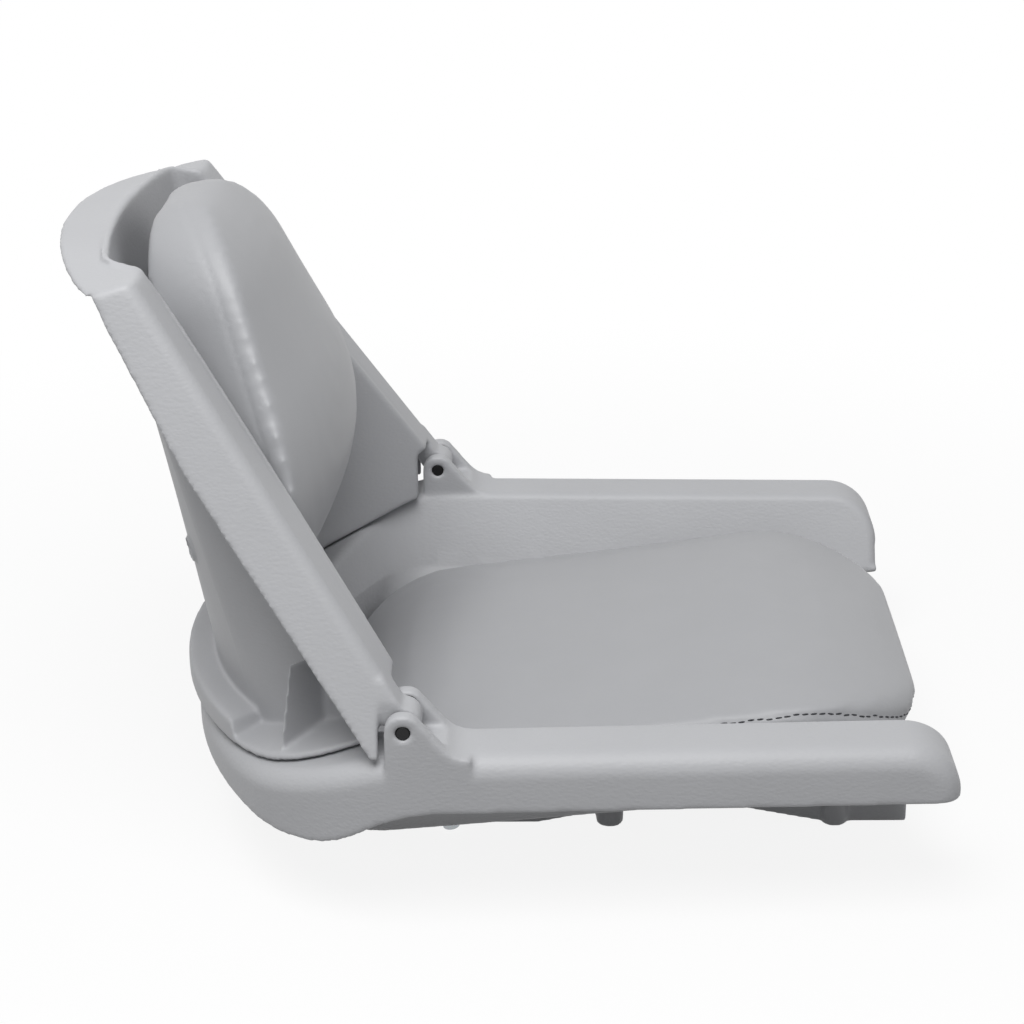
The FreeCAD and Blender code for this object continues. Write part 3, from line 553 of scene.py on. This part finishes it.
def seamLine(pad):
    plan = planOutline(pad, seamForm["around"])
    edge = padSizes(pad, plan[:, 0])["edge"]
    # round the far end the seam runs lower, on the end's face
    toEnd = np.clip(1 - (pad["length"] - plan[:, 0]) / pad["cornerR"][1], 0, 1)
    wanted = edge - pad["seamDrop"] - pad["seamFall"] * toEnd ** 2
    shares = np.linspace(seamForm["lowest"], 1, seamForm["rings"])
    rings = [boxingRing(pad, plan, share) for share in shares]
    heights = np.array([r[:, 2] for r in rings])
    pick = np.argmin(np.abs(heights - wanted[None]), axis=0)
    points = np.array([rings[pick[i]][i] for i in range(len(plan))])
    return toFrame(pad, points)


def onSurface(cushion, points):
    tree = surfaceTree(cushion.data)
    found = [tree.find_nearest(Vector(p)) for p in points]
    return np.array([f[0] for f in found]), np.array([f[1] for f in found])


def sewSeam(cushion, pad):
    line = onSurface(cushion, seamLine(pad))[0]
    tree = pointTree(line)
    points = readPoints(cushion.data)
    found = [tree.find(p) for p in points]
    index = np.array([f[1] for f in found])
    away = np.array([f[2] for f in found]) / mm
    width = pad["seamWidth"]
    groove = -pad["seamDepth"] * np.exp(-(away / width) ** 2)
    # the cover stands up a little on both sides of the seam
    fromLip = (away - seamForm["lipAway"] * width) / (seamForm["lipWidth"] * width)
    lips = seamForm["lipHeight"] * pad["seamDepth"] * np.exp(-fromLip ** 2)
    ripple = np.array([
        sum(height * noise.noise((i * step, row, 0)) for step, row, height in seamForm["ripples"])
        for i in range(len(line))])
    gather = np.exp(-(away / pad["gatherReach"]) ** 2)
    pucker = pad["puckerDepth"] * ripple[index] * gather
    shift = (groove + lips + pucker) * mm
    writePoints(cushion.data, points + readPoints(cushion.data, "normal") * shift[:, None])
    layer = cushion.data.attributes.new("gather", "FLOAT", "POINT")
    layer.data.foreach_set("value", gather.astype(np.float32))


def stitchMesh(name, places, along, up, stitch):
    sides, rings = stitchForm["sides"], stitchForm["rings"]
    points, faces = [], []
    for middle, forward, normal in zip(places, along, up):
        forward = forward - normal * forward.dot(normal)
        forward.normalize()
        beside = normal.cross(forward)
        base = len(points)
        for ring in range(rings):
            turn = math.pi * ring / (rings - 1)
            reach = -math.cos(turn) * stitch["length"] / 2
            thick = stitchForm["tip"]
            if 0 < ring < rings - 1:
                thick = stitch["radius"] * math.sin(turn) ** stitchForm["blunt"]
            bow = -stitchForm["bow"] * stitch["radius"] * (reach / stitch["length"] * 2) ** 2
            for side in range(sides):
                a = 2 * math.pi * side / sides
                lift = math.sin(a) * thick + bow - stitch["sink"]
                offset = beside * math.cos(a) * thick + normal * lift
                points.append(middle + (forward * reach + offset) * mm)
        for ring in range(rings - 1):
            for side in range(sides):
                one, two = base + ring * sides + side, base + ring * sides + (side + 1) % sides
                faces.append((one, two, two + sides, one + sides))
        faces.append([base + s for s in reversed(range(sides))])
        faces.append([base + (rings - 1) * sides + s for s in range(sides)])
    mesh = bpy.data.meshes.new(name)
    mesh.from_pydata([list(p) for p in points], [], faces)
    mesh.update()
    smoothShade(mesh)
    return mesh


def sewStitches(cushion, pad, thread):
    stitch = pad["stitch"]
    line = seamLine(pad)
    run = runLength(line) / mm
    count = int(run[-1] / stitch["pitch"])
    at = np.linspace(0, run[-1], count, endpoint=False)
    places = pointsAt(line, run, at)
    ahead = pointsAt(line, run, at + stitchForm["ahead"])
    spots, normals = onSurface(cushion, places)
    mesh = stitchMesh(stitch["name"], [Vector(p) for p in spots], [Vector(v) for v in ahead - places],
                      [Vector(n) for n in normals], stitch)
    row = newObject(stitch["name"], mesh)
    dress(row, thread)
    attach(row, pad["body"])


def makeCushion(pad, thread):
    cushion = newObject(pad["name"], padForm(pad))
    swell(cushion, pad)
    finer = cushion.modifiers.new("finer", "SUBSURF")
    finer.levels = finer.render_levels = 1
    applyModifiers(cushion)
    sewSeam(cushion, pad)
    smoothShade(cushion.data)
    dress(cushion, vinyl)
    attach(cushion, pad["body"])
    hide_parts(*pad["nodes"])
    sewStitches(cushion, pad, thread)
    print(pad["name"], len(cushion.data.polygons), "faces")


makeCushion(seatPad, darkThread)
makeCushion(backPad, greyThread)


# Floor, light and camera

# the floor is white where the camera looks past the object, and throws back less light than it shows
stageLook = {
    "floor": "f4f4f4", "bounce": "9a9a9a", "roughness": 0.9, "size": 14.0, "drop": 0.0005,
    "nearWhite": 0.88, "shadowReach": (0.3, 1.0), "worldLight": 0.28,
}
softbox = {"at": (-0.25, -0.95, 1.95), "to": (0.0, 0.0, 0.1), "size": 1.6, "watts": 38}
# the photograph's camera: place in millimetres, angles in degrees, focal length in pixels of its frame
photoCamera = {
    "at": (33.3, -1390.3, 672.3), "pitch": 20.4, "yaw": -1.2, "roll": -0.8,
    "focal": 2456, "frame": 1024, "sensor": 36,
}


def seenDirectly(tree):
    ray = addNode(tree, "ShaderNodeLightPath")
    pair = addNode(tree, "ShaderNodeMath", {"operation": "MAXIMUM"}, {
        0: ray.outputs["Is Camera Ray"], 1: ray.outputs["Is Glossy Ray"]})
    return addNode(tree, "ShaderNodeMath", {"operation": "MAXIMUM"}, {
        0: pair.outputs["Value"], 1: ray.outputs["Is Transmission Ray"]}).outputs["Value"]


def makeFloor(look):
    side = look["size"] / 2
    mesh = bpy.data.meshes.new("floor")
    corners = [(-side, -side), (side, -side), (side, side), (-side, side)]
    mesh.from_pydata([(x, y, -look["drop"]) for x, y in corners], [], [(0, 1, 2, 3)])
    floor = newObject("floor", mesh)
    material, tree, shader = newMaterial("painted studio floor, matt white")
    seen = seenDirectly(tree)
    paint = addNode(tree, "ShaderNodeMix", {"data_type": "RGBA"}, {
        "Factor": seen, "A": linear(look["bounce"]), "B": linear(look["floor"])})
    setSockets(shader, tree, {"Base Color": paint.outputs["Result"], "Roughness": look["roughness"]})
    place = addNode(tree, "ShaderNodeTexCoord").outputs["Object"]
    away = addNode(tree, "ShaderNodeVectorMath", {"operation": "LENGTH"}, {0: place})
    white = addNode(tree, "ShaderNodeMapRange", {"interpolation_type": "SMOOTHSTEP"}, {
        "Value": away.outputs["Value"],
        "From Min": look["shadowReach"][0], "From Max": look["shadowReach"][1],
        "To Min": look["nearWhite"], "To Max": 1.0})
    glow = addNode(tree, "ShaderNodeEmission", None, {"Strength": 1.0})
    share = addNode(tree, "ShaderNodeMath", {"operation": "MULTIPLY"}, {
        0: seen, 1: white.outputs["Result"]})
    mix = addNode(tree, "ShaderNodeMixShader", None, {
        0: share.outputs["Value"], 1: shader.outputs["BSDF"], 2: glow.outputs["Emission"]})
    tree.links.new(mix.outputs["Shader"], tree.nodes["Material Output"].inputs["Surface"])
    dress(floor, material)


def makeWorld(look):
    world = bpy.data.worlds.new("studio")
    world.use_nodes = True
    tree = world.node_tree
    seen = seenDirectly(tree)
    strength = addNode(tree, "ShaderNodeMapRange", None, {
        "Value": seen, "To Min": look["worldLight"], "To Max": 1.0})
    tree.links.new(strength.outputs["Result"], tree.nodes["Background"].inputs["Strength"])
    tree.nodes["Background"].inputs["Color"].default_value = (1, 1, 1, 1)
    scene.world = world


def makeLamp(name, lamp):
    light = bpy.data.lights.new(name, "AREA")
    light.shape = "DISK"
    light.size = lamp["size"]
    light.energy = lamp["watts"]
    thing = newObject(name, light)
    thing.location = lamp["at"]
    thing.rotation_euler = (Vector(lamp["to"]) - Vector(lamp["at"])).to_track_quat("-Z", "Y").to_euler()


def makeCamera(shot):
    pitch, yaw, roll = (math.radians(shot[k]) for k in ("pitch", "yaw", "roll"))
    forward = Vector((math.sin(yaw) * math.cos(pitch), math.cos(yaw) * math.cos(pitch), -math.sin(pitch)))
    right = Vector((math.cos(yaw), -math.sin(yaw), 0))
    down = forward.cross(right)
    across = right * math.cos(roll) - down * math.sin(roll)
    below = right * math.sin(roll) + down * math.cos(roll)
    camera = newObject("camera", bpy.data.cameras.new("camera"))
    camera.matrix_world = Matrix.Translation(Vector(shot["at"]) * mm) @ Matrix(
        (across, -below, -forward)).transposed().to_4x4()
    camera.data.sensor_width = shot["sensor"]
    camera.data.lens = shot["sensor"] * shot["focal"] / shot["frame"]
    scene.camera = camera


makeFloor(stageLook)
makeWorld(stageLook)
makeLamp("softbox", softbox)
makeCamera(photoCamera)
print("stage set")
